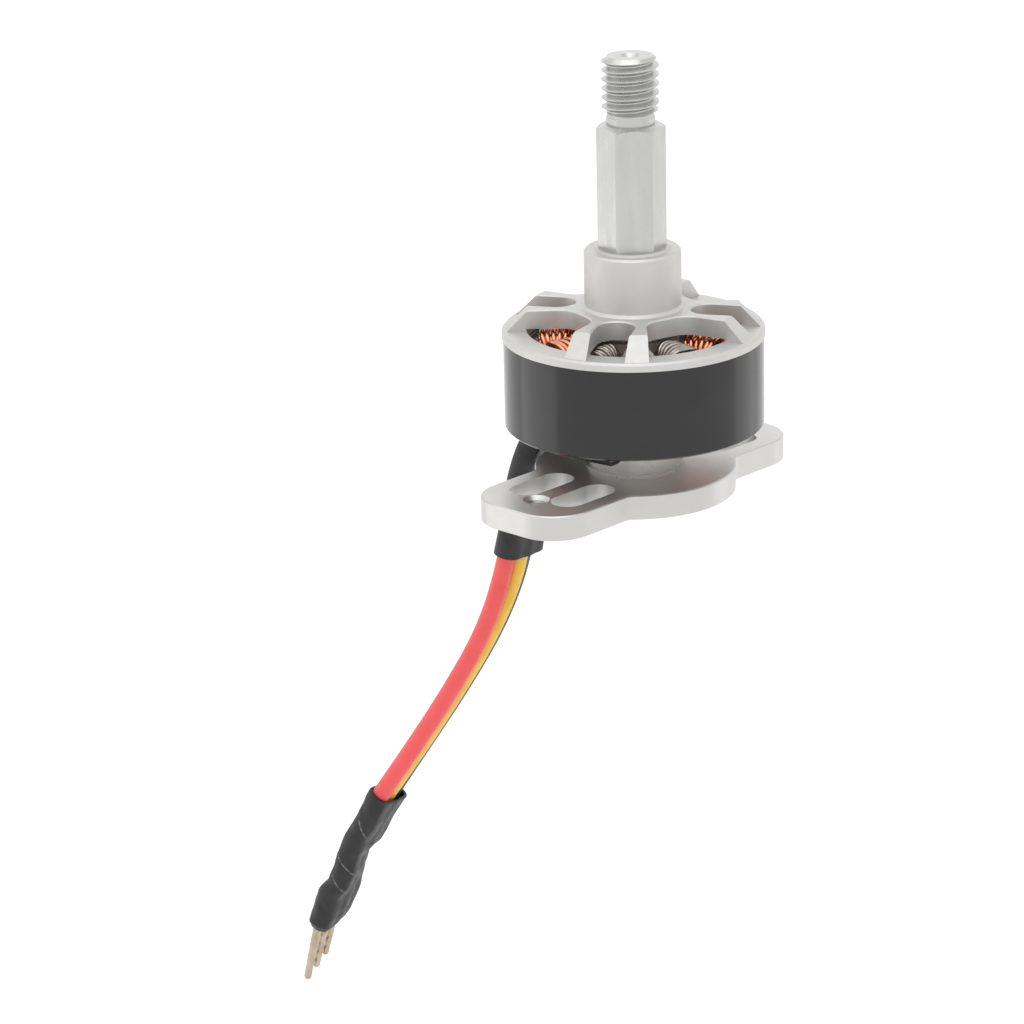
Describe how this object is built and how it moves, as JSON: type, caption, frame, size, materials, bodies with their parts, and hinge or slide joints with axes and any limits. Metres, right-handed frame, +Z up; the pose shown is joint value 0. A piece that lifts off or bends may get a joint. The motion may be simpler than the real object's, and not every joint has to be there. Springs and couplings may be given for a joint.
{
  "type": "brushless outrunner motor",
  "caption": "Small outrunner motor: a wound stator on a lobed slotted mounting plate, a spinning spoked bell, a long hexagonal propeller shaft with a threaded end, and hanging leads.",
  "frame": {"origin": "centre of the mounting plate's underside, on the shaft's axis, midway between the two screw holes", "axes": "+Z up the shaft towards the thread, +X along the plate's two lobes, +Y towards the side where the leads leave"},
  "size_m": [0.0326, 0.0455, 0.0944],
  "materials": {
    "machined_aluminium": "fine milled, satin",
    "blasted_aluminium": "bead-blasted, clear anodised",
    "turned_aluminium": "turned and satin",
    "black_ring": "semi-gloss black coat",
    "lamination_steel": "stacked sheet edges",
    "insulator_black": "matt coating",
    "winding_copper": "enamelled wire",
    "magnet_nickel": "nickel plated",
    "bearing_steel": "ground",
    "cage_brass": "plain",
    "shim_brass": "plain",
    "silicone_red": "satin silicone",
    "silicone_yellow": "satin silicone",
    "silicone_black": "satin silicone",
    "heat_shrink": "wrinkled sleeve",
    "tinned_copper": "tinned strands"
  },
  "bodies": {
    "stator": {"mounting_plate": "machined_aluminium", "bearing_tube": "machined_aluminium", "stator_core": "lamination_steel", "upper_end_insulator": "insulator_black", "lower_end_insulator": "insulator_black", "phase_a_coils": "winding_copper", "phase_b_coils": "winding_copper", "phase_c_coils": "winding_copper", "upper_bearing_outer_race": "bearing_steel", "upper_bearing_shields": "bearing_steel", "lower_bearing_outer_race": "bearing_steel", "lower_bearing_shields": "bearing_steel", "lead_red": "silicone_red", "lead_yellow": "silicone_yellow", "lead_black": "silicone_black", "tinned_end_red": "tinned_copper", "tinned_end_yellow": "tinned_copper", "tinned_end_black": "tinned_copper", "solder_joints": "tinned_copper", "winding_tails": "winding_copper", "upper_sleeve": "heat_shrink", "lower_sleeve": "heat_shrink", "star_point_sleeve": "heat_shrink", "star_point_joint": "winding_copper"},
    "rotor": {"bell_cap": "blasted_aluminium", "flux_ring": "black_ring", "magnets": "magnet_nickel", "prop_shaft": "turned_aluminium", "motor_shaft": "bearing_steel", "upper_bearing_inner_race": "bearing_steel", "lower_bearing_inner_race": "bearing_steel", "upper_shim": "shim_brass", "lower_shim": "shim_brass", "retaining_clip": "bearing_steel"},
    "upper_ball_set": {"upper_bearing_balls": "bearing_steel", "upper_bearing_cage": "cage_brass"},
    "lower_ball_set": {"lower_bearing_balls": "bearing_steel", "lower_bearing_cage": "cage_brass"}
  },
  "joints": [
    {"name": "rotor_spin", "type": "hinge", "parent": "stator", "child": "rotor", "pos_m": [0, 0, 0.01], "axis": [0, 0, 1], "continuous": true},
    {"name": "upper_balls_orbit", "type": "hinge", "parent": "stator", "child": "upper_ball_set", "pos_m": [0, 0, 0.01295], "axis": [0, 0, 1], "continuous": true},
    {"name": "lower_balls_orbit", "type": "hinge", "parent": "stator", "child": "lower_ball_set", "pos_m": [0, 0, 0.00225], "axis": [0, 0, 1], "continuous": true}
  ],
  "couplings": [
    {"joint": "upper_balls_orbit", "follows": "rotor_spin", "ratio": 0.413},
    {"joint": "lower_balls_orbit", "follows": "rotor_spin", "ratio": 0.413}
  ]
}
